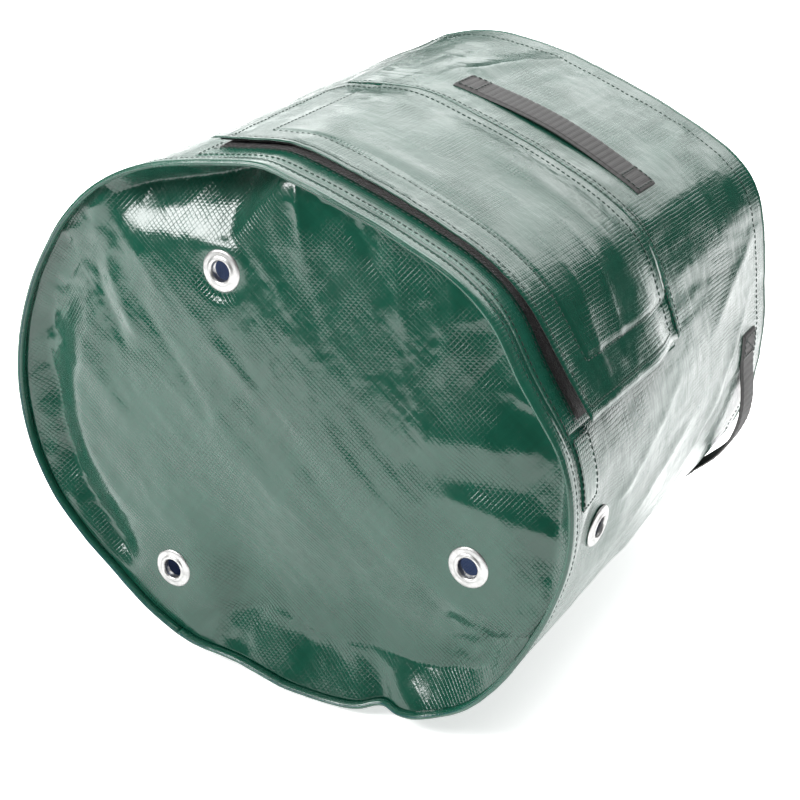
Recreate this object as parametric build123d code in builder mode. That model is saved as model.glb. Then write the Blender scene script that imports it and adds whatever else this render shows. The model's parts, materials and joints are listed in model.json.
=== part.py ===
from build123d import *
import os
from math import atan2, cos, degrees, hypot, radians, sin, sqrt

os.makedirs("parts", exist_ok=True)

# Driving dimensions, in millimetres and degrees. The bag lies on its side: +Y runs from the base to
# the mouth, +Z is up, and angles are measured around the wall from the top (+Z) towards +X.
length = 333.0            # base hem edge to mouth edge
half_width = 181.0        # outside of the wall, a little squashed by its own weight
half_height = 164.5
rest_drop = 160.5         # the section is flat where it rests, this far below its centre
centre_x = -1.464         # section centre, so the box is centred on X
skin = 1.0                # stand-in thickness of the laminated fabric
base_inset = 5.0          # the base panel sits this far behind the hem edge
base_hem_depth = 5.0
mouth_hem_depth = 20.0
facing_skin = 0.8
tape_skin = 1.2
tape_width = 20.0
tape_gap = 0.3            # air between the closed hook and loop tapes
flap_skin = 1.0
flap_near, flap_far = 28.0, 169.0        # from the hem edge
flap_left, flap_right = -17.5, 75.7
facing_tail = 90.0        # the facing's base-side band runs on past the flap to this angle
window_near, window_far = 54.0, 158.0
window_left, window_right = -8.0, 66.2
strap_width = 25.0
strap_skin = 1.8
top_strap_near = 202.0
top_strap_left, top_strap_right = 1.5, 48.3
handle_near = 285.5
handle_span = 44.0        # angle from sewn end to sewn end
handle_sewn = 6.0         # angle of each sewn end
handle_gap = 10.0         # how far the middle stands off the wall
handle_free = 0.55        # share of the chord that swings
handle_right_mid, handle_left_mid = 110.0, -52.0
hole_r = 6.0              # inside of an eyelet's barrel
barrel_skin = 0.6
flange_r = 12.5
washer_r = 11.0
base_eyelets = ((-32.0, 99.4), (-78.0, -99.6), (125.0, -42.6))   # from the section centre
side_eyelet_back = 52.0
side_right, side_left = 97.7, -82.3
seam_left, seam_right = 205.0, 210.0

start = -length / 2
centre = (centre_x, rest_drop)
cut_r = hole_r + barrel_skin + 0.05


def radius(angle, off):
    """Distance from the section centre to the wall's outside plus off."""
    s, c = sin(radians(angle)), cos(radians(angle))
    return 1 / sqrt((s / (half_width + off)) ** 2 + (c / (half_height + off)) ** 2)


def spot(angle, off):
    """Point on the section, in the XZ sketch plane."""
    r = radius(angle, off)
    return (centre[0] + r * sin(radians(angle)), centre[1] + r * cos(radians(angle)))


def oval(off):
    """Wall section grown by off: an ellipse whose flat underside moves out by the same amount."""
    with BuildSketch(Plane.XZ) as s:
        with Locations(centre):
            Ellipse(half_width + off, half_height + off)
        with Locations((centre[0], -off - 250)):
            Rectangle(900, 500, mode=Mode.SUBTRACT)
    return s.sketch


def wedge(left, right):
    """Slice of the section plane between two angles, less than 180 degrees apart."""
    far = 600.0
    mid = (left + right) / 2
    rim = [(centre[0] + far * sin(radians(a)), centre[1] + far * cos(radians(a))) for a in (left, mid, right)]
    with BuildSketch(Plane.XZ) as s:
        with BuildLine():
            Polyline(centre, *rim, close=True)
        make_face()
    return s.sketch


def ring(inner, outer):
    return oval(outer) - oval(inner)


def band(inner, outer, left, right):
    """Part of a ring between two angles."""
    return ring(inner, outer) & wedge(left, right)


def along(face, near, far):
    """Solid from a section, between two distances from the hem edge."""
    return extrude(Pos(0, start + near, 0) * face, amount=far - near, dir=(0, 1, 0), mode=Mode.PRIVATE)


def degrees_of(width):
    return degrees(width / 172.0)


def outward(angle):
    """Plane on the wall's outside, its normal along the wall's own normal."""
    s, c = sin(radians(angle)), cos(radians(angle))
    x, z = spot(angle, 0)
    normal = Vector(s / half_width ** 2, 0, c / half_height ** 2).normalized()
    return Plane(origin=(x, start + side_eyelet_back, z), x_dir=(0, 1, 0), z_dir=normal)


def base_plane(x, z):
    """Plane on the base panel's outside, its normal out of the bag."""
    return Plane(origin=(centre[0] + x, start + base_inset, centre[1] + z), x_dir=(1, 0, 0), z_dir=(0, -1, 0))


def eyelet_profile():
    """Half section of the eyelet: flange with a rolled edge outside, barrel, and the crimp inside."""
    inner, outer, deep = hole_r, hole_r + barrel_skin, skin + 1.6
    with BuildSketch(Plane.XZ) as s:
        with BuildLine():
            Polyline((inner, -deep), (inner, 1.1), (inner + 1.0, 1.9), (inner + 2.6, 2.1),
                     (flange_r - 0.5, 0.9), (flange_r, 0.0), (outer, 0.0), (outer, -deep), (inner, -deep))
        make_face()
    return s.sketch


def washer_profile():
    """Half section of the washer: a dished ring behind the fabric."""
    bore, deep = hole_r + barrel_skin, skin
    with BuildSketch(Plane.XZ) as s:
        with BuildLine():
            Polyline((bore, -deep), (bore, -deep - 1.2), (washer_r - 1.5, -deep - 0.9),
                     (washer_r, -deep - 0.4), (washer_r, -deep), (bore, -deep))
        make_face()
    return s.sketch


def turned(profile, plane):
    return plane * revolve(profile, axis=Axis.Z, mode=Mode.PRIVATE)


def arch(angle_mid):
    """Section of a carrying strap's free length: it leaves the wall at both sewn ends and bows out."""
    a, b = angle_mid - handle_span / 2 + handle_sewn, angle_mid + handle_span / 2 - handle_sewn
    with BuildSketch(Plane.XZ) as s:
        with BuildLine():
            ThreePointArc(spot(a, 0.02), spot(angle_mid, handle_gap), spot(b, 0.02))
            Line(spot(b, 0.02), spot(b, strap_skin))
            ThreePointArc(spot(b, strap_skin), spot(angle_mid, handle_gap + strap_skin), spot(a, strap_skin))
            Line(spot(a, strap_skin), spot(a, 0.02))
        make_face()
    return s.sketch


def swing_slot(angle_mid, clear):
    """Strip across the strap's chord that holds its swinging middle, grown by clear at each end."""
    a, b = angle_mid - handle_span / 2 + handle_sewn, angle_mid + handle_span / 2 - handle_sewn
    (xa, za), (xb, zb) = spot(a, 0), spot(b, 0)
    with BuildSketch(Plane.XZ) as s:
        with Locations(Location(((xa + xb) / 2, (za + zb) / 2, 0), (0, 0, degrees(atan2(zb - za, xb - xa))))):
            Rectangle(hypot(xb - xa, zb - za) * handle_free + 2 * clear, 120)
    return s.sketch


# Base panel: the round bottom, let into the wall behind the hem.
with BuildPart() as base_panel:
    add(along(oval(-skin), base_inset, base_inset + skin))
    for bx, bz in base_eyelets:
        with Locations(base_plane(bx, bz)):
            Cylinder(cut_r, 30, mode=Mode.SUBTRACT)
base_panel.part.label = "base_panel"
export_step(base_panel.part, "parts/base_panel.step")

# Side wall: one tube of fabric with the harvest window and the side eyelet holes cut out.
with BuildPart() as side_wall:
    add(along(ring(-skin, 0), 0, length))
    add(along(band(-6, 6, window_left, window_right), window_near, window_far), mode=Mode.SUBTRACT)
    for a in (side_right, side_left):
        with Locations(outward(a).offset(-skin)):
            Cylinder(washer_r + 0.2, 8, align=(Align.CENTER, Align.CENTER, Align.MAX), mode=Mode.SUBTRACT)
        with Locations(outward(a)):
            Cylinder(cut_r, 30, mode=Mode.SUBTRACT)
side_wall.part.label = "side_wall"
export_step(side_wall.part, "parts/side_wall.step")

# Base hem: the turned-up edge sewn inside the wall's rim, in front of the base panel.
with BuildPart() as base_hem:
    add(along(ring(-2 * skin, -skin), 0, base_hem_depth))
base_hem.part.label = "base_hem"
export_step(base_hem.part, "parts/base_hem.step")

# Mouth hem: the wall's top edge folded inwards and sewn down.
with BuildPart() as mouth_hem:
    add(along(ring(-2 * skin, -skin), length - mouth_hem_depth, length))
mouth_hem.part.label = "mouth_hem"
export_step(mouth_hem.part, "parts/mouth_hem.step")

# Side seam: the lap where the wall's two ends meet, from the hem to the mouth.
with BuildPart() as side_seam:
    add(along(band(0, facing_skin, seam_left, seam_right), 6, length - 2))
side_seam.part.label = "side_seam"
export_step(side_seam.part, "parts/side_seam.step")

# Window facing: the doubled frame around the window that carries the loop tape.
with BuildPart() as window_facing:
    add(along(band(0, facing_skin, flap_left, flap_right + 1.5), 10, flap_far - 1))
    add(along(band(0, facing_skin, flap_right, facing_tail), 15, 37))
    add(along(band(-6, 6, window_left, window_right), window_near, window_far), mode=Mode.SUBTRACT)
window_facing.part.label = "window_facing"
export_step(window_facing.part, "parts/window_facing.step")

# Loop tapes on the facing, and the hook tapes under the flap that close on them.
tape_angle = degrees_of(tape_width)
near_tape = (flap_left + 1, flap_right - 1, flap_near + 2, flap_near + 2 + tape_width)
left_tape = (flap_left + 1, flap_left + 1 + tape_angle, near_tape[3] + 1, window_far)
right_tape = (flap_right - 1 - tape_angle, flap_right - 1, near_tape[3] + 1, window_far)
loop_low, loop_high = facing_skin, facing_skin + tape_skin
hook_low, hook_high = loop_high + tape_gap, loop_high + tape_gap + tape_skin

for tape_name, (a0, a1, y0, y1) in {"near": near_tape, "left": left_tape, "right": right_tape}.items():
    with BuildPart() as loop_tape:
        add(along(band(loop_low, loop_high, a0, a1), y0, y1))
    loop_tape.part.label = f"loop_tape_{tape_name}"
    export_step(loop_tape.part, f"parts/loop_tape_{tape_name}.step")
    with BuildPart() as hook_tape:
        add(along(band(hook_low, hook_high, a0, a1), y0, y1))
    hook_tape.part.label = f"hook_tape_{tape_name}"
    export_step(hook_tape.part, f"parts/hook_tape_{tape_name}.step")

# Flap: it covers the window and turns up about its far edge.
with BuildPart() as flap_panel:
    add(along(band(hook_high, hook_high + flap_skin, flap_left, flap_right), flap_near, flap_far - 0.3))
flap_panel.part.label = "flap_panel"
export_step(flap_panel.part, "parts/flap_panel.step")

# Hinge fold: the sewn strip that holds the flap's far edge to the wall.
with BuildPart() as flap_hinge:
    add(along(band(0, hook_high + flap_skin, flap_left, flap_right), flap_far, flap_far + 5))
flap_hinge.part.label = "flap_hinge"
export_step(flap_hinge.part, "parts/flap_hinge.step")

# Top strap: webbing sewn down flat above the flap.
with BuildPart() as top_strap:
    add(along(band(0, strap_skin, top_strap_left, top_strap_right), top_strap_near,
              top_strap_near + strap_width))
top_strap.part.label = "top_strap"
export_step(top_strap.part, "parts/top_strap.step")

# Carrying straps: two sewn ends each, and the middle that swings between them.
for side, mid in (("right", handle_right_mid), ("left", handle_left_mid)):
    for end_name, sign in (("upper", -1 if side == "right" else 1), ("lower", 1 if side == "right" else -1)):
        a_out, a_in = mid + sign * handle_span / 2, mid + sign * (handle_span / 2 - handle_sewn)
        with BuildPart() as sewn_end:
            add(along(band(0, strap_skin, min(a_out, a_in), max(a_out, a_in)), handle_near,
                      handle_near + strap_width))
            add(along((arch(mid) - swing_slot(mid, 0.3)) & wedge(*sorted((mid, a_in + sign))), handle_near,
                      handle_near + strap_width))
        sewn_end.part.label = f"handle_{side}_{end_name}_end"
        export_step(sewn_end.part, f"parts/handle_{side}_{end_name}_end.step")
    with BuildPart() as handle:
        add(along(arch(mid) & swing_slot(mid, 0), handle_near, handle_near + strap_width))
    handle.part.label = f"handle_{side}"
    export_step(handle.part, f"parts/handle_{side}.step")

# Eyelets: three in the base and one in each side, each with its washer inside the bag.
places = {f"base_{n + 1}": base_plane(bx, bz) for n, (bx, bz) in enumerate(base_eyelets)}
places.update(side_right=outward(side_right), side_left=outward(side_left))
for place_name, plane in places.items():
    with BuildPart() as eyelet:
        add(turned(eyelet_profile(), plane))
    eyelet.part.label = f"eyelet_{place_name}"
    export_step(eyelet.part, f"parts/eyelet_{place_name}.step")
    with BuildPart() as washer:
        add(turned(washer_profile(), plane))
    washer.part.label = f"washer_{place_name}"
    export_step(washer.part, f"parts/washer_{place_name}.step")
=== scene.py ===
"""Looks of the grow bag lying on its side: laminated weave, hook tape, webbing, stitches and eyelets."""

import json
import math

import bpy
import numpy as np
from mathutils import Matrix, Vector


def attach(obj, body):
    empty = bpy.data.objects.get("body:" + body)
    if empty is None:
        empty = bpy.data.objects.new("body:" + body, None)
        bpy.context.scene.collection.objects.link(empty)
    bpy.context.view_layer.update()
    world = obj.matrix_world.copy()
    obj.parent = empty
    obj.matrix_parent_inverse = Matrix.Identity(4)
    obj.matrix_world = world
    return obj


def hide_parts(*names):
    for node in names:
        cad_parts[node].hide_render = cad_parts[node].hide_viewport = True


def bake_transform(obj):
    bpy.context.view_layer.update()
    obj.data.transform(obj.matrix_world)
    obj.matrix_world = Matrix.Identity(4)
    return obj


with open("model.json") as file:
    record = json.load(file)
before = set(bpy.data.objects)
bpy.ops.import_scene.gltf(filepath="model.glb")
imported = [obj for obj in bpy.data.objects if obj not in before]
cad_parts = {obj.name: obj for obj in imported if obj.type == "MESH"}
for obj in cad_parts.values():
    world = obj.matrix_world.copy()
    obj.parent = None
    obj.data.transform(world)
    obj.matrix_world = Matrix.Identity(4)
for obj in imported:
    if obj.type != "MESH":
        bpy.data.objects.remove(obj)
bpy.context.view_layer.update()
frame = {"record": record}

# All shapes are worked out in millimetres. Angles go around the wall, from the top towards +X, in degrees.
# Distances along the bag start at the base hem's edge and run to the mouth.
MM = 0.001
ARC = 3.0                                # millimetres of wall to a degree
LENGTH = 333.0
START = -LENGTH / 2                      # the base hem's edge along Y
CX, CZ = -1.4, 161.4                     # middle of the wall's section
SEAM, ROUND = -152.5, 207.5              # the wall starts and ends at the side seam
CLOTH = 0.9
BASE_SET_IN = 5.0                        # from the hem's edge to the base panel
RIM_GAP = 1.4                            # between the base panel's rim and the wall

# A patch of wall is (first angle, last angle, nearest distance, furthest distance).
FLAP = (-17.5, 75.7, 28.0, 169.0)
WINDOW = (-8.0, 66.2, 54.0, 158.0)
WINDOW_MID = 29.1
FACING_END = 90.0

CAD_CZ, CAD_A, CAD_B = 160.5, 181.0, 164.5                        # the CAD's section is this oval
BASE_EYELETS = ((-32.0, 259.9), (-78.0, 60.9), (125.0, 117.9))    # (across from CX, above the floor)
SIDE_EYELETS = (("right", 97.7), ("left", -82.3))
EYELET_BACK = 52.0                       # from the hem's edge to the side eyelets
EYELET_CUT = 8.6                         # radius of cloth left out under a flange
EYELET_FLAT = 12.6                       # radius that the flange holds flat


# ---------------------------------------------------------------- number tools
WORD, HASH_I, HASH_J, HASH_SEED, HASH_MIX = 0xFFFFFFFF, 374761393, 668265263, 974634777, 1274126177


def lattice(i, j, seed):
    """A repeatable direction, in radians, for each corner of a noise grid."""
    n = (i * HASH_I + j * HASH_J + seed * HASH_SEED) & WORD
    n = ((n ^ (n >> 13)) * HASH_MIX) & WORD
    return ((n ^ (n >> 16)) & 0xFFFF) / 65536.0 * 2 * math.pi


def noise(x, y, seed, period=0):
    """Smooth gradient noise, about -1 to 1, repeating along x after a whole number of cells."""
    x, y = np.broadcast_arrays(np.asarray(x, float), np.asarray(y, float))
    xi, yi = np.floor(x).astype(np.int64), np.floor(y).astype(np.int64)
    fx, fy = x - xi, y - yi
    sx, sy = fx ** 3 * (fx * (fx * 6 - 15) + 10), fy ** 3 * (fy * (fy * 6 - 15) + 10)

    def corner(di, dj):
        i = (xi + di) % period if period else xi + di
        a = lattice(i, yi + dj, seed)
        return np.cos(a) * (fx - di) + np.sin(a) * (fy - dj)

    low = corner(0, 0) * (1 - sx) + corner(1, 0) * sx
    high = corner(0, 1) * (1 - sx) + corner(1, 1) * sx
    return (low * (1 - sy) + high * sy) * 1.5


def creases(x, y, seed, period=0):
    """Sharp-backed ridges, as in a stiff film that has been folded."""
    return 0.5 - np.sqrt(noise(x, y, seed, period) ** 2 + 0.004) * 1.6


def bell(d, wide):
    """One at zero, falling away on both sides."""
    return np.exp(-(d / wide) ** 2)


def turn(t, at):
    """Angle from at to t, the short way round."""
    return (t - at + 180) % 360 - 180


def ease(a, b, x):
    """Zero at a and one at b, smooth between and level outside."""
    s = np.clip((x - a) / (b - a), 0, 1)
    return s * s * (3 - 2 * s)


def fold(px, py, a, b, wide, high, sharp=True):
    """A crease from a to b: full height along its middle, fading at both ends."""
    dx, dy = b[0] - a[0], b[1] - a[1]
    size = math.hypot(dx, dy)
    along = ((px - a[0]) * dx + (py - a[1]) * dy) / size ** 2
    off = ((px - a[0]) * dy - (py - a[1]) * dx) / size
    fade = ease(-0.08, 0.3, along) * ease(1.08, 0.65, along)
    shape = np.exp(-np.sqrt((off / wide) ** 2 + 0.03)) if sharp else bell(off, wide)
    return high * fade * shape


def add_folds(h, px, py, folds):
    for each in folds:
        h = h + fold(px, py, *each)
    return h


# ---------------------------------------------------------------- the bag's shape
def oval(t, a, b):
    """Radius at an angle of an oval that is a to the side and b to the top."""
    return 1 / np.sqrt((np.sin(np.radians(t)) / a) ** 2 + (np.cos(np.radians(t)) / b) ** 2)


# How the bag's two ends differ from ovals: (angle, degrees wide, millimetres out).
BASE_BUMPS = ((28, 22, -8), (66, 12, -10), (138, 16, 10), (-171, 13, -8), (-134, 20, -8), (-38, 20, 7),
              (0, 8, 3))
MOUTH_BUMPS = ((-24, 24, 17), (58, 15, 14), (20, 14, -2), (120, 20, 4), (-80, 18, -4), (-140, 20, 5))
# Folds are (from, to, width, height), and False at the end makes a fold soft.
WALL_FOLDS = (((150, 60), (95, 215), 5, 2.2), ((128, 30), (60, 190), 4, 1.6), ((60, 300), (150, 190), 6, 2.0),
              ((20, 325), (70, 215), 5, 1.8), ((-60, 330), (-40, 240), 7, 2.0), ((-150, 325), (-190, 200), 7, 2.6),
              ((-250, 40), (-170, 160), 8, 2.5), ((-330, 300), (-260, 150), 8, 2.5),
              ((230, 320), (180, 120), 7, 2.2), ((300, 20), (260, 200), 8, 2.5))
BASE_FOLDS = (((-116, 136), (20, 0), 7, 1.5), ((-40, 72), (60, -40), 4, -0.6), ((-100, 88), (-40, 8), 4, -1.5),
              ((-124, 92), (-98, 36), 6, -3.0), ((-112, 92), (-90, 44), 5, 2.2),
              ((-140, 40), (-96, -18), 8, 1.4, False), ((40, 22), (84, -22), 4, -1.1), ((6, 10), (64, -52), 5, -1.0),
              ((-18, 60), (110, -50), 13, 1.3, False), ((-60, 40), (40, -80), 15, 1.4, False),
              ((90, 24), (184, 34), 11, 2.6, False), ((108, -6), (184, -16), 10, 2.6, False),
              ((96, 6), (180, 6), 9, -1.4, False), ((100, -78), (176, -58), 7, 1.8), ((128, -92), (168, -74), 4, -2.4),
              ((140, -100), (160, -72), 3, 1.8), ((8, 170), (24, 104), 5, 2.6), ((30, 162), (74, 96), 6, -1.6),
              ((66, 150), (84, 70), 7, 1.4), ((110, 118), (104, 56), 7, 1.6), ((140, 84), (112, 44), 5, -1.6),
              ((-96, 112), (-62, 66), 5, 1.6), ((-40, -124), (60, -136), 9, -1.6, False),
              ((-20, -118), (70, -128), 5, 1.6))
FLAP_FOLDS = (((60, 80), (138, 62), 4, 1.5), ((40, 110), (130, 92), 5, 1.3), ((-90, 60), (30, 70), 9, 1.2, False),
              ((-20, 130), (110, 128), 7, 1.0, False))


def smooth_radius(t, y):
    """Wall radius without its small wrinkles."""
    base, mouth = oval(t, 186.5, 161.5), oval(t, 172.0, 165.0)
    for at, wide, high in BASE_BUMPS:
        base = base + high * bell(turn(t, at), wide)
    for at, wide, high in MOUTH_BUMPS:
        mouth = mouth + high * bell(turn(t, at), wide)
    w = np.clip(y / LENGTH, -0.05, 1.05)
    return base * (1 - w) + mouth * w


def in_patch(t, y, box, soft=5.0):
    """One inside a patch of wall, falling to zero over soft millimetres outside it."""
    t0, t1, y0, y1 = box
    mid, half = (t0 + t1) / 2, (t1 - t0) / 2
    dt = (np.abs(turn(t, mid)) - half) * ARC
    dy = np.maximum(y0 - y, y - y1)
    return ease(soft, 0.0, np.maximum(dt, dy))


def wrinkles(t, y):
    """The wall's waves, creases and folds, outwards."""
    u = t / 360.0
    out = 1.5 * noise(u * 14, y / 150, 3, 14)
    out = out + 1.35 * creases(u * 26 + y / 900, y / 210, 5, 26)
    out = out + 1.0 * creases(u * 40, y / 70 + u * 8, 8, 40) * ease(-0.2, 0.5, noise(u * 9, y / 120, 9, 9))
    out = out + 0.45 * creases(u * 90, y / 60, 12, 90)
    out = out + 0.16 * noise(u * 260, y / 7, 15, 260)
    return add_folds(out, turn(t, 60) * ARC, y, WALL_FOLDS)


def hem_wave(t):
    """The base hem isn't a true ring: it wanders in and out along the bag."""
    u = t / 360.0
    wave = 1.3 * noise(u * 12, 0.3, 31, 12) + 0.6 * noise(u * 34, 0.7, 33, 34)
    return wave + 5.0 * bell(turn(t, 156), 3.2) - 2.0 * bell(turn(t, 147), 4) + 2.5 * bell(turn(t, -165), 7)


def wall(t, y, off=0.0, rough=1.0):
    """Point on the wall: angle, distance from the hem, distance outwards. Returns x, y, z arrays."""
    t, y = np.asarray(t, float), np.asarray(y, float)
    r = smooth_radius(t, y)
    # fewer wrinkles under the flap, the facing's tail and the top strap, and at both hems
    calm = 1 - 0.85 * in_patch(t, y, (FLAP[0] - 2, FLAP[1] + 2, FLAP[2] - 14, FLAP[3] + 6), 10)
    calm = calm * (1 - 0.8 * in_patch(t, y, (FLAP[1], FACING_END, 12, 40), 8))
    calm = calm * (1 - 0.9 * in_patch(t, y, (0, 50, 198, 230), 8))
    calm = calm * (0.25 + 0.75 * ease(0, 26, y)) * (0.5 + 0.5 * ease(LENGTH, LENGTH - 30, y))
    small = wrinkles(t, y) * calm * rough
    # the eyelets hold the cloth at the CAD's section
    near = np.zeros_like(r)
    for _, at in SIDE_EYELETS:
        d = np.hypot(turn(t, at) * ARC, y - EYELET_BACK)
        near = np.maximum(near, ease(42, 13, d))
    cad = oval(t, CAD_A, CAD_B) - 0.1
    r = (r + small) * (1 - near) + cad * near + off
    x, z = CX + r * np.sin(np.radians(t)), CZ + r * np.cos(np.radians(t))
    # the underside settles on the floor
    sink = 0.4 - np.minimum(off, 0)
    z = np.where(z < sink + 4, sink + 4 * np.exp(np.clip((z - sink - 4) / 4, -60, 0)), z)
    wave = hem_wave(t) * ease(45, 0, y)
    lip = 3.0 * bell(turn(t, 156), 4) * ease(30, 0, y)
    return x, START + y + wave, z + lip


def hinge_line(d, soft):
    """Zero on one side of a fold and rising one for one on the other, rounded over soft millimetres."""
    return 0.5 * (d + np.sqrt(d * d + soft * soft))


def base_face(x, z):
    """How far the base panel stands out past the plane of its eyelets, in millimetres."""
    px, pz = x - CX, z - CZ
    t = np.degrees(np.arctan2(px, pz))
    rim = smooth_radius(t, 0.0) - RIM_GAP
    rho = np.clip(np.hypot(px, pz) / rim, 0, 1)
    inward = (1 - rho) * rim
    # the panel stands upright at the lower left and leans back to the upper right
    lean = 0.62 * px + 0.785 * pz - 60 + 16 * ease(24, -40, px) + 6 * noise(px / 60, pz / 60, 40)
    h = 4.3 - 0.18 * hinge_line(lean, 15)
    # a steep shoulder over the top eyelet, a dip along the left and another above the floor
    start = 114 + 38 * ease(-34, 10, px) + 1.5 * noise(px / 22, 0.3, 42)
    h = h - 0.6 * hinge_line(pz - start, 6) * ease(-118, -86, px) * ease(80, 12, px)
    h = h - 15 * bell(turn(t, -95), 42) * ease(48, 15, inward)
    h = h - 4 * bell(turn(t, 85), 36) * ease(44, 8, inward)
    h = h - 17.5 * ease(-10, -112, pz + 0.12 * px) * ease(-84, -20, px) * ease(180, 110, px)
    h = add_folds(h, px, pz, BASE_FOLDS)
    h = h + 0.55 * creases((px + pz * 0.9) / 30, (pz - px * 0.9) / 110, 43) * ease(8, 40, inward)
    h = h + 0.22 * creases(px / 13, pz / 17, 47) + 0.07 * noise(px / 4, pz / 4, 49)
    crumple = bell(px - 142, 30) * bell(pz + 84, 26) + 0.7 * bell(turn(t, -62), 26) * ease(34, 14, inward)
    h = h + 1.5 * creases(px / 17, pz / 15, 51) * crumple
    around = t / 360
    h = h + 1.1 * creases(around * 44, inward / 30, 55, 44) * ease(56, 12, inward)
    left_edge = bell(turn(t, -96), 50) * ease(30, 10, inward)
    h = h + 4.2 * creases(around * 21 + inward / 160, inward / 60, 57, 21) * left_edge
    # it turns forward again to meet the hem
    width = 6 + 9 * bell(turn(t, -100), 50) + 5 * bell(turn(t, -25), 22) + 26 * bell(turn(t, -176), 24)
    width = width + 22 * bell(turn(t, 150), 22) + 5.5 * noise(around * 18, 0.5, 53, 18)
    width = np.maximum(width, 4)
    h = h * np.clip(inward / width, 0, 1)
    facets = creases(around * 27 - inward / 90, inward / 40, 59, 27)
    h = h + 3.2 * facets * bell(turn(t, -95), 62) * ease(0, 7, inward) * ease(30, 12, inward)
    # the eyelets hold it flat, over a shorter reach at the top
    calm = np.zeros_like(h)
    for (ex, ez), reach in zip(BASE_EYELETS, (20, 46, 46)):
        calm = np.maximum(calm, ease(reach, EYELET_FLAT, np.hypot(x - ex - CX, z - ez)))
    return h * (1 - calm) + 0.3 * calm


# ---------------------------------------------------------------- mesh tools
def add_mesh(name, points, faces, uv=None, mats=(), face_mats=None, smooth=True):
    """Object from points in millimetres. uv is one pair for each point, in millimetres of cloth."""
    mesh = bpy.data.meshes.new(name)
    mesh.from_pydata((np.asarray(points) * MM).tolist(), [], [list(map(int, f)) for f in faces])
    if uv is not None:
        layer = mesh.uv_layers.new(name="cloth")
        loops = np.empty(len(mesh.loops), np.int32)
        mesh.loops.foreach_get("vertex_index", loops)
        layer.data.foreach_set("uv", (np.asarray(uv) * MM)[loops].astype(np.float32).ravel())
    for m in mats:
        mesh.materials.append(m)
    if face_mats is not None:
        mesh.polygons.foreach_set("material_index", np.asarray(face_mats, np.int32))
    mesh.polygons.foreach_set("use_smooth", np.full(len(mesh.polygons), smooth))
    mesh.update()
    mesh.validate()
    obj = bpy.data.objects.new(name, mesh)
    bpy.context.scene.collection.objects.link(obj)
    return obj


def shell(name, top, under, uv, wrap=False, keep=None, mats=(), under_mat=0):
    """Closed skin between two grids of points, rows by columns. keep says which cells are cloth."""
    rows, cols = top.shape[:2]
    count = rows * cols
    points = np.concatenate([top.reshape(-1, 3), under.reshape(-1, 3)])
    uvs = np.concatenate([uv.reshape(-1, 2)] * 2)
    wide = cols if wrap else cols - 1
    cell = np.ones((rows - 1, wide), bool) if keep is None else keep
    i, j = np.nonzero(cell)
    k = (j + 1) % cols
    a, b, c, d = i * cols + j, i * cols + k, (i + 1) * cols + k, (i + 1) * cols + j
    faces = [np.stack([a, b, c, d], 1), np.stack([d, c, b, a], 1) + count]

    def side(p, q):
        return np.stack([q, p, p + count, q + count], 1)

    def bare(di, dj):
        ii, jj = i + di, j + dj
        if wrap:
            jj = jj % wide
        out = (ii < 0) | (ii >= rows - 1) | (jj < 0) | (jj >= wide)
        safe = cell[np.clip(ii, 0, rows - 2), np.clip(jj, 0, wide - 1)]
        return out | ~safe

    for hit, p, q in ((bare(-1, 0), a, b), (bare(0, 1), b, c), (bare(1, 0), c, d), (bare(0, -1), d, a)):
        faces.append(side(p[hit], q[hit]))
    kinds = np.concatenate([np.full(len(f), under_mat if n == 1 else 0) for n, f in enumerate(faces)])
    faces = np.concatenate(faces)
    used = np.unique(faces)
    table = np.zeros(len(points), np.int64)
    table[used] = np.arange(len(used))
    return add_mesh(name, points[used], table[faces], uvs[used], mats, kinds)


def grid(t0, t1, y0, y1, step=2.4):
    """Angles and distances over a patch of wall, about step millimetres apart."""
    nt, ny = max(3, int((t1 - t0) * ARC / step) + 1), max(3, int((y1 - y0) / step) + 1)
    t, y = np.meshgrid(np.linspace(t0, t1, nt), np.linspace(y0, y1, ny))
    return t, y


def stack(xyz):
    return np.stack(np.broadcast_arrays(*xyz), -1)


def cloth_uv(t, y):
    return np.stack([t * ARC, y], -1)


def edge_drop(t, y, box, wide=1.6):
    """Zero at a patch's edge and one inside, to round the edge off."""
    t0, t1, y0, y1 = box
    near = np.minimum(np.minimum(t - t0, t1 - t) * ARC, np.minimum(y - y0, y1 - y))
    return np.sqrt(np.clip(near / wide, 0, 1))


def wall_patch(name, box, low, high, mats, keep=None, step=2.4, relief=None, rough=1.0, steps=None):
    """A thin closed piece of cloth or tape on the wall, between two heights over it."""
    t, y = grid(*box, step) if steps is None else steps
    bump = relief(t, y) if relief else 0.0
    rise = (high - low) * edge_drop(t, y, box)
    top = stack(wall(t, y, low + rise + bump, rough))
    under = stack(wall(t, y, low + bump, rough))
    return shell(name, top, under, cloth_uv(t, y), keep=keep, mats=mats)


def profile_ring(name, profile, thick, mats, cols=440):
    """A band around the whole bag: profile holds (distance from the hem, height over the wall) pairs."""
    t = np.linspace(SEAM, ROUND, cols)[None, :]
    py = np.array([p[0] for p in profile])[:, None]
    po = np.array([p[1] for p in profile])[:, None]
    dy, do = np.gradient(py[:, 0]), np.gradient(po[:, 0])
    size = np.hypot(dy, do)
    ny, no = (do / size)[:, None], (-dy / size)[:, None]
    t = np.broadcast_to(t, (len(profile), cols))
    top = stack(wall(t, py + 0 * t, po + 0 * t))
    under = stack(wall(t, py - ny * thick + 0 * t, po + no * thick + 0 * t))
    s = np.cumsum(size)[:, None] + 0 * t
    return shell(name, top, under, np.stack([t * ARC, s], -1), mats=mats)


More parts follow.
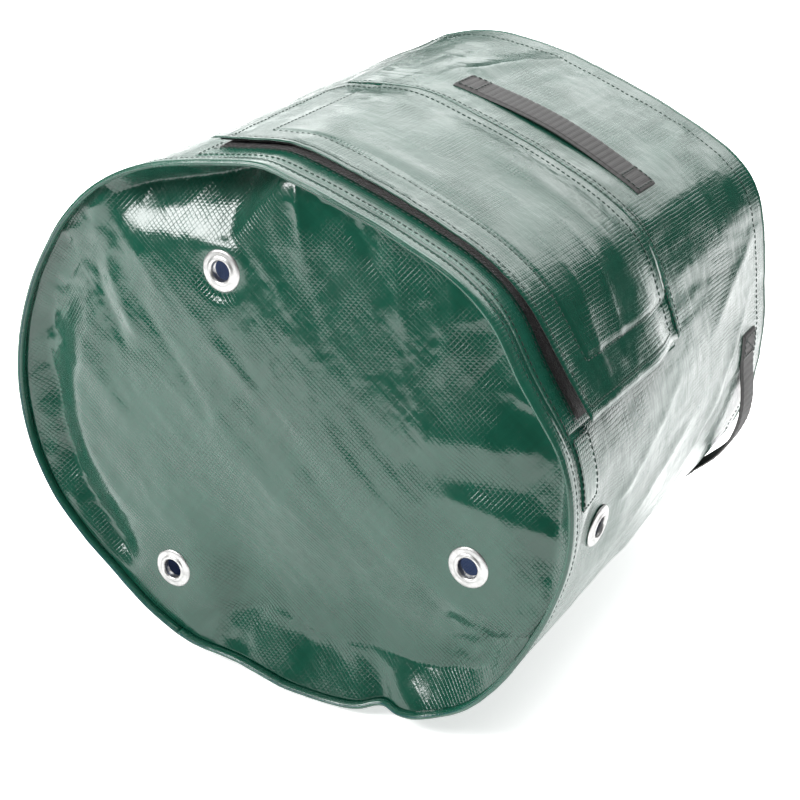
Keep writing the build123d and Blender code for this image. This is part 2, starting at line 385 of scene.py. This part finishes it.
def thread(name, runs, mat, pitch=3.7, size=2.7, fat=0.38):
    """Rows of stitches, pitch apart and size long. Each run is (points, outward directions)."""
    ring, caps = 6, ((-0.5, 0.0), (-0.42, 0.7), (-0.15, 1.0), (0.15, 1.0), (0.42, 0.7), (0.5, 0.0))
    points, faces = [], []
    for path, out in runs:
        path, out = np.asarray(path, float), np.asarray(out, float)
        s = np.concatenate([[0], np.cumsum(np.linalg.norm(np.diff(path, axis=0), axis=1))])
        count = max(2, int(s[-1] / pitch))
        mids = (np.arange(count) + 0.5) * s[-1] / count

        def at(where, values):
            return np.stack([np.interp(where, s, values[:, k]) for k in range(3)], 1)

        mid, up = at(mids, path), at(mids, out)
        ahead, back = at(mids + size / 2, path), at(mids - size / 2, path)
        for m, along, u in zip(mid, ahead - back, up):
            along = along / (np.linalg.norm(along) + 1e-9)
            u = u - along * u.dot(along)
            u = u / (np.linalg.norm(u) + 1e-9)
            w = np.cross(along, u)
            first = len(points)
            for a, r in caps:
                for k in range(ring):
                    q = 2 * math.pi * k / ring
                    lift = 0.18 * (1 - (2 * a) ** 2)
                    spoke = (w * math.cos(q) * 1.15 + u * math.sin(q) * 0.75) * r * fat
                    points.append(m + along * a * size + spoke + u * (lift - 0.1))
            for n in range(len(caps) - 1):
                for k in range(ring):
                    p, q = first + n * ring + k, first + n * ring + (k + 1) % ring
                    faces.append((p, q, q + ring, p + ring))
    return add_mesh(name, points, faces, mats=[mat])


def wall_run(ts, ys, off, surface=None):
    """A line drawn on the wall, finely divided: its points and outward directions."""
    surface = surface or wall
    ts, ys = np.broadcast_arrays(np.asarray(ts, float), np.asarray(ys, float))
    n = 260
    q, base = np.linspace(0, len(ts) - 1, n), np.arange(len(ts))
    t, y = np.interp(q, base, ts), np.interp(q, base, ys)
    p = stack(surface(t, y, off))
    return p, stack(surface(t, y, off + 1.0)) - p


def lathe(name, profile, place, mats, around=72):
    """A turned ring from a closed half section of (radius, height) pairs, set in place by a matrix."""
    prof = np.array(profile)
    ang = np.linspace(0, 2 * math.pi, around, endpoint=False)
    pts = np.stack([prof[:, None, 0] * np.cos(ang), prof[:, None, 0] * np.sin(ang),
                    prof[:, None, 1] + 0 * ang], -1).reshape(-1, 3)
    m = np.array(place)
    pts = pts @ m[:3, :3].T + m[:3, 3]
    rows = len(prof)
    faces = []
    for i in range(rows):
        for j in range(around):
            a, b = i * around + j, i * around + (j + 1) % around
            c, d = ((i + 1) % rows) * around + (j + 1) % around, ((i + 1) % rows) * around + j
            faces.append((a, b, c, d))
    return add_mesh(name, pts, faces, mats=mats)


# ---------------------------------------------------------------- materials
class Graph:
    """Short names for building a material's nodes."""

    def __init__(self, name):
        self.mat = bpy.data.materials.new(name)
        self.mat.use_nodes = True
        self.tree = self.mat.node_tree
        self.bsdf = self.tree.nodes["Principled BSDF"]

    def cloth(self):
        """Place on the cloth in metres: around the bag, then along it."""
        uv = self.node("ShaderNodeUVMap")
        uv.uv_map = "cloth"
        return uv.outputs[0]

    def node(self, kind, **sockets):
        n = self.tree.nodes.new(kind)
        for k, v in sockets.items():
            self.put(n.inputs[k.replace("_", " ")], v)
        return n

    def put(self, socket, v):
        if isinstance(v, bpy.types.NodeSocket):
            self.tree.links.new(v, socket)
        else:
            socket.default_value = v

    def math(self, op, a, b=0.0, c=0.0):
        n = self.tree.nodes.new("ShaderNodeMath")
        n.operation = op
        for s, v in zip(n.inputs, (a, b, c)):
            self.put(s, v)
        return n.outputs[0]

    def noise(self, vector, scale, detail=3.0, rough=0.55, squash=(1, 1, 1)):
        m = self.node("ShaderNodeMapping", Vector=vector, Scale=squash)
        n = self.node("ShaderNodeTexNoise", Vector=m.outputs[0], Scale=scale, Detail=detail, Roughness=rough)
        return n.outputs["Fac"]

    def span(self, v, a, b, c, d):
        n = self.node("ShaderNodeMapRange")
        for s, x in zip(n.inputs, (v, a, b, c, d)):
            self.put(s, x)
        return n.outputs[0]

    def mix(self, fac, a, b):
        n = self.tree.nodes.new("ShaderNodeMix")
        n.data_type = "RGBA"
        self.put(n.inputs[0], fac)
        self.put(n.inputs[6], a)
        self.put(n.inputs[7], b)
        return n.outputs[2]

    def bump(self, height, strength, distance, normal=None):
        n = self.node("ShaderNodeBump", Height=height, Strength=strength, Distance=distance)
        if normal is not None:
            self.put(n.inputs["Normal"], normal)
        return n.outputs[0]

    def finish(self, **sockets):
        for k, v in sockets.items():
            self.put(self.bsdf.inputs[k.replace("_", " ")], v)
        return self.mat


TAPE_PITCH = 0.0023               # metres from one woven tape of the laminate to the next


def laminate(name, dark, light, turned=0.0, shine=0.2, weave=0.8, gloss=1.5, film_coat=0.15):
    """Woven tape fabric under a glossy film: a plain weave that shows through, fine streaks and scuffs."""
    g = Graph(name)
    spin = g.node("ShaderNodeMapping", Vector=g.cloth(), Rotation=(0, 0, math.radians(turned)))
    cloth = spin.outputs[0]
    wobble = g.node("ShaderNodeTexNoise", Vector=cloth, Scale=60.0, Detail=1.0)
    shift = g.node("ShaderNodeVectorMath", Vector=wobble.outputs["Color"])
    shift.operation = "SCALE"
    shift.inputs["Scale"].default_value = 0.0007
    moved = g.node("ShaderNodeVectorMath")
    moved.operation = "ADD"
    g.put(moved.inputs[0], cloth)
    g.put(moved.inputs[1], shift.outputs[0])
    axes = g.node("ShaderNodeSeparateXYZ", Vector=moved.outputs[0])
    u, v = g.math("DIVIDE", axes.outputs[0], TAPE_PITCH), g.math("DIVIDE", axes.outputs[1], TAPE_PITCH * 0.9)
    across, along = g.math("PINGPONG", u, 0.5), g.math("PINGPONG", v, 0.5)
    arch_u = g.math("POWER", g.math("MULTIPLY", across, 2.0), 0.2)
    arch_v = g.math("POWER", g.math("MULTIPLY", along, 2.0), 0.2)
    over = g.math("ABSOLUTE", g.math("MODULO", g.math("ADD", g.math("FLOOR", u), g.math("FLOOR", v)), 2.0))
    height = g.math("ADD", g.math("MINIMUM", arch_u, arch_v), g.math("MULTIPLY", over, 0.12))
    warp = g.noise(cloth, 240.0, 2.0, 0.6, (1, 0.05, 1))
    weft = g.noise(cloth, 240.0, 2.0, 0.6, (0.05, 1, 1))
    strong = g.span(g.noise(cloth, 22.0, 3.0), 0.42, 0.62, 0.12, 1.3)
    streaks = g.math("MULTIPLY", g.math("ADD", warp, weft), 0.7)
    threads = g.math("ADD", streaks, g.math("MULTIPLY", height, strong))
    film = g.noise(cloth, 900.0, 2.0)
    crinkle = g.noise(cloth, 70.0, 4.0, 0.6)
    first = g.bump(crinkle, 0.35, 0.0009)
    second = g.bump(threads, weave, 0.0003, first)
    third = g.bump(film, 0.25, 0.00005, second)
    tint = g.mix(g.span(g.noise(cloth, 9.0, 4.0), 0.3, 0.7, 0.0, 1.0), dark + (1,), light + (1,))
    lines = g.span(g.math("ADD", warp, weft), 0.8, 1.3, 0.0, 0.16)
    tint = g.mix(lines, tint, tuple(min(1, c * 1.9) for c in light) + (1,))
    scuff = g.span(g.noise(cloth, 34.0, 5.0, 0.65), 0.4, 0.75, shine - 0.03, shine + 0.13)
    return g.finish(Base_Color=tint, Roughness=scuff, Normal=third, IOR=gloss, Coat_Weight=film_coat,
                    Coat_Roughness=0.09)


def webbing(name):
    g = Graph(name)
    cloth = g.cloth()
    axes = g.node("ShaderNodeSeparateXYZ", Vector=cloth)
    rib = g.math("PINGPONG", g.math("DIVIDE", axes.outputs[0], 0.0012), 0.5)
    cross = g.math("PINGPONG", g.math("DIVIDE", axes.outputs[1], 0.0016), 0.5)
    weave = g.math("ADD", rib, g.math("MULTIPLY", cross, 0.8))
    fuzz = g.noise(cloth, 2200.0, 3.0, 0.7)
    normal = g.bump(fuzz, 0.5, 0.00012, g.bump(weave, 0.6, 0.0004))
    worn = g.span(g.noise(cloth, 180.0, 4.0), 0.35, 0.7, 0.0, 1.0)
    tint = g.mix(worn, (0.006, 0.005, 0.005, 1), (0.015, 0.014, 0.013, 1))
    tint = g.mix(g.math("MULTIPLY", fuzz, 0.35), tint, (0.026, 0.024, 0.022, 1))
    return g.finish(Base_Color=tint, Roughness=0.72, Normal=normal, Sheen_Weight=0.12, Sheen_Roughness=0.5)


def hook_tape(name):
    g = Graph(name)
    cloth = g.cloth()
    cells = g.node("ShaderNodeTexVoronoi", Vector=cloth, Scale=1100.0)
    nap = g.noise(cloth, 1700.0, 4.0, 0.75)
    normal = g.bump(g.math("ADD", cells.outputs["Distance"], nap), 0.9, 0.0005)
    tint = g.mix(g.span(nap, 0.35, 0.75, 0.0, 1.0), (0.010, 0.009, 0.009, 1), (0.05, 0.045, 0.042, 1))
    return g.finish(Base_Color=tint, Roughness=0.9, Normal=normal, Sheen_Weight=0.35, Sheen_Roughness=0.4)


def metal(name):
    g = Graph(name)
    where = g.node("ShaderNodeTexCoord").outputs["Object"]
    fine = g.noise(where, 1800.0, 3.0, 0.6)
    dull = g.noise(where, 260.0, 4.0, 0.6)
    tint = g.mix(g.span(dull, 0.35, 0.7, 0.0, 1.0), (0.50, 0.50, 0.49, 1), (0.36, 0.36, 0.355, 1))
    return g.finish(Base_Color=tint, Metallic=1.0, Roughness=g.span(dull, 0.3, 0.75, 0.32, 0.5),
                    Normal=g.bump(fine, 0.18, 0.0001))


def yarn(name):
    g = Graph(name)
    where = g.node("ShaderNodeTexCoord").outputs["Object"]
    twist = g.node("ShaderNodeTexWave", Vector=where, Scale=900.0, Distortion=2.0, Detail=2.0)
    tint = g.mix(g.noise(where, 300.0), (0.006, 0.016, 0.012, 1), (0.018, 0.036, 0.028, 1))
    return g.finish(Base_Color=tint, Roughness=0.62, Normal=g.bump(twist.outputs["Fac"], 0.5, 0.0001))


GREEN_DARK, GREEN_LIGHT = (0.0022, 0.037, 0.022), (0.0045, 0.050, 0.031)
green_wall = laminate("laminate_green_wall", GREEN_DARK, GREEN_LIGHT)
green_base = laminate("laminate_green_base", GREEN_DARK, GREEN_LIGHT, turned=38.0, shine=0.15, weave=1.0)
green_trim = laminate("laminate_green_trim", GREEN_DARK, (0.008, 0.074, 0.047), shine=0.22)
navy = laminate("laminate_navy_inside", (0.010, 0.036, 0.115), (0.016, 0.055, 0.17), shine=0.5, gloss=1.2,
                film_coat=0.0)
black_web, black_tape = webbing("webbing_black"), hook_tape("hook_tape_black")
alloy, thread_mat = metal("eyelet_alloy"), yarn("thread_dark")


# ---------------------------------------------------------------- the cloth of the bag
made = {}


def keeper(t, y):
    """Which cells of a wall grid are cloth: not the window, not under an eyelet's flange."""
    tc, yc = (t[:-1, :-1] + t[1:, 1:]) / 2, (y[:-1, :-1] + y[1:, 1:]) / 2
    across = turn(tc, WINDOW_MID)
    window = (across > WINDOW[0] - WINDOW_MID) & (across < WINDOW[1] - WINDOW_MID)
    keep = ~(window & (yc > WINDOW[2]) & (yc < WINDOW[3]))
    for _, at in SIDE_EYELETS:
        keep &= np.hypot(turn(tc, at) * ARC, yc - EYELET_BACK) > EYELET_CUT
    return keep


t, y = np.meshgrid(np.linspace(SEAM, ROUND, 481), np.linspace(0.0, LENGTH, 141))
outside, inside = stack(wall(t, y, 0.0)), stack(wall(t, y, -CLOTH))
made["side_wall"] = shell("side_wall_cloth", outside, inside, cloth_uv(t, y), keep=keeper(t, y),
                          mats=[green_wall, navy], under_mat=1)

# the base panel is a square grid pressed into a disc, so its cells are about even
BASE_CELLS = 180
a, b = np.meshgrid(np.linspace(-1, 1, BASE_CELLS + 1), np.linspace(-1, 1, BASE_CELLS + 1))
dx, dz = a * np.sqrt(1 - b * b / 2), b * np.sqrt(1 - a * a / 2)
rho, t = np.hypot(dx, dz), np.degrees(np.arctan2(dx, dz))
rim = smooth_radius(t, 0.0) - RIM_GAP
px, pz = CX + dx * rim, CZ + dz * rim
lip = 3.0 * bell(turn(t, 156), 4) * ease(0.85, 1.0, rho)
slack = hem_wave(t) * ease(0.72, 1.0, rho)
py = START + BASE_SET_IN + slack - base_face(px, pz)
keep = np.ones((BASE_CELLS, BASE_CELLS), bool)
xc, zc = (px[:-1, :-1] + px[1:, 1:]) / 2, (pz[:-1, :-1] + pz[1:, 1:]) / 2
for ex, ez in BASE_EYELETS:
    keep &= np.hypot(xc - ex - CX, zc - ez) > EYELET_CUT
top = stack((px, py, pz + lip))
under = stack((px, py + CLOTH, pz + lip))
made["base_panel"] = shell("base_panel_cloth", top, under, np.stack([px, pz], -1), keep=keep,
                           mats=[green_base, navy], under_mat=1)

BASE_HEM = ((9.4, 0.1), (9.1, 0.55), (7.4, 0.45), (5.0, 0.85), (2.2, 0.95), (0.6, 0.75), (-0.1, 0.2), (-0.2, -0.5),
            (0.4, -1.1), (2.6, -1.4), (6.5, -1.5))
MOUTH_HEM = ((331.0, 0.15), (332.0, 0.5), (333.2, 0.4), (333.9, -0.4), (333.4, -1.5), (331.0, -1.9), (322.0, -1.8),
             (314.0, -1.8), (312.6, -1.2))
made["base_hem"] = profile_ring("base_hem_fold", BASE_HEM, 0.5, [green_trim])
made["mouth_hem"] = profile_ring("mouth_hem_fold", MOUTH_HEM, 0.4, [green_trim])
made["side_seam"] = wall_patch("side_seam_lap", (-156.5, -149.5, 9.5, 330.0), 0.05, 0.75, [green_trim])

box = (FLAP[0] - 1.5, FLAP[1] + 1.5, 13.0, 168.0)
t, y = grid(*box)
made["window_facing"] = wall_patch("window_facing_frame", box, 0.05, 0.8, [green_trim], keep=keeper(t, y),
                                   steps=(t, y))
tail = (FLAP[1] + 1.0, FACING_END, 15.0, 37.0)
made["facing_tail"] = wall_patch("window_facing_tail", tail, 0.1, 1.1, [green_trim])

TAPE = 20.0                       # width of the hook and loop tapes
near_box = (FLAP[0] + 1.0, FLAP[1] - 0.3, FLAP[2] + 1.0, FLAP[2] + 1.0 + TAPE)
left_box = (FLAP[0] + 1.0, FLAP[0] + 1.0 + TAPE / ARC, near_box[3] + 1.0, WINDOW[3])
right_box = (FLAP[1] - 0.3 - TAPE / ARC, FLAP[1] - 0.3, near_box[3] + 1.0, WINDOW[3])
TAPES = (("near", near_box), ("left", left_box), ("right", right_box))


def nap(t, y):
    return 0.12 * noise(t * 2.4, y * 0.8, 71)


for key, at in TAPES:
    name = "loop_tape_" + key
    made[name] = wall_patch(name + "_pile", at, 0.8, 2.0, [black_tape], relief=nap)


# ---------------------------------------------------------------- the flap and its tapes
def flap_edge(t, y):
    """Millimetres in from the flap's three free edges."""
    return np.minimum(np.minimum(t - FLAP[0], FLAP[1] - t) * ARC, y - FLAP[2])


def flap_height(t, y):
    """How far the flap's outside stands over the wall."""
    d = flap_edge(t, y)
    h = 4.7 - 2.2 * ease(135, 168, y)
    # a turned hem, a groove at each of its two rows of stitches, and a panel that is fuller inside them
    h = h + 0.55 * ease(8.5, 6.5, d) - 0.5 * bell(d - 5.5, 1.1) - 0.45 * bell(d - 24.0, 1.3)
    h = h + 0.5 * ease(24.5, 27, d) * ease(60, 30, d)
    h = h + 1.6 * ease(25, 60, d) * (0.6 + noise(t / 22, y / 50, 61))
    h = h + 1.5 * ease(14, 0, y - FLAP[2]) * (0.7 + noise(t / 16, 0.4, 63))
    h = h + 0.5 * creases(t / 5.0, y / 30, 65) * bell(d - 8, 10)
    h = h + 0.35 * creases(t / 7.0, y / 60, 66) * bell(d - 24, 7)
    # its right end stands off a little
    h = h + 5.0 * ease(44, 78, t) * ease(166, 118, y)
    h = add_folds(h, (t - 29) * ARC, y, FLAP_FOLDS)
    return h + 0.10 * noise(t * 0.8, y / 6, 67)


def flap_skin(t, y, off):
    """Point on the flap: angle, distance from the hem, distance outwards."""
    return wall(t, y, flap_height(t, y) + off, 0.35)


t, y = grid(FLAP[0], FLAP[1], FLAP[2], FLAP[3] - 0.2, 1.9)
drop = 0.5 * (1 - edge_drop(t, y, (FLAP[0], FLAP[1], FLAP[2], 400.0), 1.2))
outside, inside = stack(flap_skin(t, y, -drop)), stack(flap_skin(t, y, -1.0 + drop * 0.6))
made["flap_panel"] = shell("flap_panel_cloth", outside, inside, cloth_uv(t, y), mats=[green_wall, navy],
                           under_mat=1)


def hook_patch(name, box):
    """Tape on the flap's underside."""
    t, y = grid(*box)
    fur = 0.1 * noise(t * 2.4, y * 0.8, 73)
    top, under = stack(flap_skin(t, y, -1.05)), stack(flap_skin(t, y, -2.1 + fur))
    return shell(name, top, under, cloth_uv(t, y), mats=[black_tape])


for key, at in TAPES:
    at = (at[0] + 0.6, at[1] - 0.6, at[2] + 0.8, min(at[3], 150.0))
    made["hook_tape_" + key] = hook_patch("hook_tape_" + key + "_hooks", at)


def ridge(t, y):
    """The two ridges between the hinge's three rows of stitches."""
    return 0.9 * bell(y - 170.6, 1.3) + 0.7 * bell(y - 174.0, 1.2) + 0.3 * creases(t / 4, y / 9, 75)


hinge_box = (FLAP[0] - 0.4, FLAP[1] + 0.4, 168.2, 176.5)
made["flap_hinge"] = wall_patch("flap_hinge_fold", hinge_box, 0.1, 2.4, [green_trim], step=1.2, relief=ridge)


# ---------------------------------------------------------------- webbing
WEB = 25.0                        # width of the webbing


def strap(name, t0, t1, y0, lift, sag=0.0):
    """Ribbed webbing lying around the wall; lift gives its height over the wall along its length."""
    cols, rows = int((t1 - t0) * ARC / 0.55), 16
    t, w = np.meshgrid(np.linspace(t0, t1, cols), np.linspace(0, WEB, rows))
    s = (t - t0) * ARC
    ribs = 0.34 * np.abs(np.sin(math.pi * s / 4.4)) ** 0.6
    end = np.minimum(s, (t1 - t0) * ARC - s)
    edge = np.sqrt(np.clip(np.minimum(w, WEB - w), 0, 1)) * np.sqrt(np.clip(end / 0.8, 0, 1))
    cup = 0.25 * ((w - WEB / 2) / (WEB / 2)) ** 2
    low = lift(t) + 0.1
    bow = sag * np.sin(np.clip((t - t0) / (t1 - t0), 0, 1) * math.pi) ** 2
    top = stack(wall(t, y0 + w + bow, low + (1.3 + ribs) * edge - cup * (lift(t) > 1), 0.3))
    under = stack(wall(t, y0 + w + bow, low + 0.25 * (1 - edge) + 0.12 * ribs, 0.3))
    return shell(name, top, under, np.stack([s, w], -1), mats=[black_web])


def bow_of(mid, half, gap):
    """Height of a carrying strap over the wall: flat where it is sewn, bowed between."""
    def lift(t):
        q = np.clip((t - mid) / half, -1, 1)
        return gap * np.cos(q * math.pi / 2) ** 1.4
    return lift


made["top_strap"] = strap("top_strap_webbing", 1.5, 48.3, 202.0, bow_of(25, 17, 1.6))
HANDLES = (("right", 110.0), ("left", -52.0))         # the angle of each carrying strap's middle
for side, mid in HANDLES:
    made["handle_" + side] = strap("handle_" + side + "_webbing", mid - 22, mid + 22, 285.5,
                                   bow_of(mid, 16.0, 8.5), 1.5)


# ---------------------------------------------------------------- eyelets
# half sections as (radius, height over the cloth)
EYELET = ((6.0, -2.3), (6.0, 0.7), (6.2, 1.45), (6.75, 2.0), (7.5, 2.15), (8.2, 1.9), (8.65, 1.45), (9.1, 1.28),
          (10.3, 1.25), (11.3, 1.1), (12.0, 0.75), (12.4, 0.3), (12.3, -0.15), (11.8, -0.1), (9.0, 0.2), (6.65, 0.2),
          (6.65, -2.2), (7.6, -2.55), (7.7, -2.85), (7.0, -3.0), (6.3, -2.8))
WASHER = ((6.75, -1.15), (6.75, -1.9), (7.4, -2.3), (9.4, -2.1), (10.6, -1.7), (11.0, -1.35), (10.9, -1.05))


def facing(point, out):
    """Matrix that stands a turned part on a point, its axis along out."""
    z = Vector(out).normalized()
    x = Vector((0, 1, 0)) if abs(z.y) < 0.9 else Vector((1, 0, 0))
    y = z.cross(x).normalized()
    x = y.cross(z)
    return Matrix.Translation(point) @ Matrix((x, y, z)).transposed().to_4x4()


places = {}
for n, (ex, ez) in enumerate(BASE_EYELETS):
    places["base_%d" % (n + 1)] = facing((CX + ex, START + BASE_SET_IN, ez), (0, -1, 0))
for side, at in SIDE_EYELETS:
    r = float(oval(at, CAD_A, CAD_B))
    s, c = math.sin(math.radians(at)), math.cos(math.radians(at))
    point = (CX + r * s, START + EYELET_BACK, CAD_CZ + r * c)
    places["side_" + side] = facing(point, (s / CAD_A ** 2, 0, c / CAD_B ** 2))
for key, m in places.items():
    made["eyelet_" + key] = lathe("eyelet_" + key + "_rolled", EYELET, m, [alloy])
    made["washer_" + key] = lathe("washer_" + key + "_dished", WASHER, m, [alloy])


# ---------------------------------------------------------------- stitches
def closed(t0, t1, y0, y1):
    """The corners of a stitched box, back to the first."""
    return (t0, t1, t1, t0, t0), (y0, y0, y1, y1, y0)


def ring_run(y, off):
    """A line around the whole bag, drawn in four lengths so that it is finely divided."""
    around = np.linspace(-152, 207, 120)
    lengths = [wall_run(around[k:k + 31], y, off) for k in range(0, 119, 30)]
    return tuple(np.concatenate([each[n][:-1] for each in lengths]) for n in (0, 1))


def hinge_top(t, y, off):
    return wall(t, y, 2.5 + ridge(t, y) + off)


body_runs = [ring_run(7.4, 0.95), ring_run(316.0, 0.05)]
for at in (-155.6, -150.4):
    body_runs.append(wall_run((at, at), (12, 328), 0.75))
body_runs.append(wall_run((FLAP[0] - 0.8, FLAP[1] + 1), (15.5, 15.5), 0.8))
body_runs.append(wall_run((FLAP[0] - 0.7, FLAP[0] - 0.7), (15.5, 40), 0.8))
body_runs.append(wall_run(*closed(FLAP[1] + 2.0, FACING_END - 0.8, 17.0, 35.0), 1.1))
body_runs.append(wall_run((FLAP[0], FLAP[1]), (FLAP[2] - 1.2, FLAP[2] - 1.2), 0.8))
for row in (169.6, 172.4, 175.6):
    body_runs.append(wall_run((FLAP[0] + 0.3, FLAP[1] - 0.3), (row, row), -0.1, hinge_top))
for side, mid in HANDLES:
    for a0, a1 in ((mid - 21.2, mid - 17.0), (mid + 17.0, mid + 21.2)):
        body_runs.append(wall_run(*closed(a0, a1, 288.0, 308.0), 1.95))
        body_runs.append(wall_run((a0, a1), (288.0, 308.0), 1.95))
for a0, a1 in ((2.3, 6.6), (43.2, 47.5)):
    body_runs.append(wall_run(*closed(a0, a1, 204.5, 224.5), 1.95))
made["stitches_bag"] = thread("stitches_bag", body_runs, thread_mat)

flap_runs = []
for inset in (5.5, 24.0):
    first, last, near = FLAP[0] + inset / ARC, FLAP[1] - inset / ARC, FLAP[2] + inset
    flap_runs.append(wall_run((first, first, last, last), (160.0, near, near, 160.0), 0.1, flap_skin))
flap_runs.append(wall_run((FLAP[0] + 2, FLAP[1] - 2), (160.0, 160.0), 0.1, flap_skin))
made["stitches_flap"] = thread("stitches_flap", flap_runs, thread_mat)


# ---------------------------------------------------------------- which CAD part each piece stands for, and which pieces go with the bag
# Each of these stands for the CAD node of its own name.
SAME = ("side_wall", "base_panel", "base_hem", "mouth_hem", "side_seam", "window_facing", "loop_tape_near",
        "loop_tape_left", "loop_tape_right", "flap_hinge", "top_strap", "flap_panel", "hook_tape_near",
        "hook_tape_left", "hook_tape_right")
joints = {j["child"]: j for j in frame["record"]["behaviour"]["joints"]}
for key in [k for k in made if not k.startswith(("flap_panel", "hook", "handle", "stitches_flap"))]:
    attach(made[key], "bag")
# On the real bag the flap bends over the 75 mm next to its hinge, and a carrying strap bends just above its sewn ends;
# here the flap's pieces and the straps only have their placement baked into their meshes, and no body carries them.
for key in ("flap_panel", "hook_tape_near", "hook_tape_left", "hook_tape_right", "stitches_flap"):
    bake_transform(made[key])
for side, mid in HANDLES:
    pos = Vector(joints["handle_" + side]["pos_m"])
    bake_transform(made["handle_" + side])
for key in SAME:
    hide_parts(key)
for side, _ in HANDLES:
    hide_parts("handle_" + side, "handle_%s_upper_end" % side,
                "handle_%s_lower_end" % side)
for key in places:
    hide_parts("eyelet_" + key)
    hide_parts("washer_" + key)

SLOTS = (("tape", "hook_loop_black"), ("strap", "webbing_black"), ("handle", "webbing_black"),
         ("eyelet", "eyelet_metal"), ("washer", "eyelet_metal"))
for key, obj in made.items():
    next((s for word, s in SLOTS if word in key), "tarp_green")


# ---------------------------------------------------------------- floor, light and camera
# The floor is pale and glows by its own emission, though it is no lamp: a painted contact shadow makes it glow less
# where ambient occlusion finds the bag close, and a painted brightening makes it glow more towards the back.
g = Graph("floor_white")
place = g.node("ShaderNodeTexCoord").outputs["Object"]
speck = g.noise(place, 6.0)
depth = g.node("ShaderNodeSeparateXYZ", Vector=place).outputs[1]
occlusion_for_painted_shadow = g.node("ShaderNodeAmbientOcclusion", Distance=0.25).outputs["AO"]
# painted light: emission falls with ambient occlusion near the bag (painted contact shadow) and rises with depth
# (painted brightening)
painted_floor_glow = g.math("ADD", g.span(occlusion_for_painted_shadow, 0.25, 0.75, 0.55, 1.0), g.span(depth, -0.3, 0.9, 0.0, 0.9))
floor_mat = g.finish(Base_Color=g.mix(speck, (0.80, 0.80, 0.80, 1), (0.82, 0.82, 0.82, 1)), Roughness=0.9,
                     Emission_Color=(1, 1, 1, 1), Emission_Strength=painted_floor_glow)
corners = [(-4500, -1300, 0), (4500, -1300, 0), (4500, 7000, 0), (-4500, 7000, 0)]
add_mesh("floor", corners, [(0, 1, 2, 3)], mats=[floor_mat])


def softbox(name, place, aim, wide, high, radiance):
    """A soft rectangular light that faces a point. Sizes are in metres."""
    light = bpy.data.lights.new(name, "AREA")
    light.shape, light.size, light.size_y = "RECTANGLE", wide, high
    light.energy = radiance * math.pi * wide * high
    obj = bpy.data.objects.new(name, light)
    obj.location = place
    obj.rotation_euler = (Vector(aim) - Vector(place)).to_track_quat("-Z", "Y").to_euler()
    bpy.context.scene.collection.objects.link(obj)


softbox("softbox_top", (0.15, 0.45, 2.6), (0, 0, 0), 1.8, 1.8, 8.5)
softbox("softbox_back", (-0.36, 1.75, 1.6), (0, 0, 0.2), 2.8, 1.5, 3.3)
softbox("softbox_back_left", (-1.7, 1.2, 0.75), (0, 0, 0.2), 1.6, 1.3, 1.3)
softbox("softbox_front", (-0.9, -1.3, 1.3), (0, 0, 0.2), 1.05, 0.8, 19.0)

world = bpy.data.worlds.new("studio")
world.use_nodes = True
background = world.node_tree.nodes["Background"]
background.inputs["Color"].default_value = (0.09, 0.092, 0.095, 1)
background.inputs["Strength"].default_value = 1.0
bpy.context.scene.world = world
bpy.context.scene.view_settings.view_transform = "Standard"

cam_data = bpy.data.cameras.new("camera")
cam_data.lens, cam_data.sensor_width = 76.5, 36.0
camera = bpy.data.objects.new("camera", cam_data)
right, up = Vector((0.8629, 0.5054, 0)), Vector((-0.2001, 0.3417, 0.9183))
ahead = Vector((-0.4641, 0.7924, -0.3960))
facing_scene = Matrix((right, up, -ahead)).transposed().to_4x4()
camera.matrix_world = Matrix.Translation((0.5006, -0.8787, 0.5656)) @ facing_scene
bpy.context.scene.collection.objects.link(camera)
bpy.context.scene.camera = camera
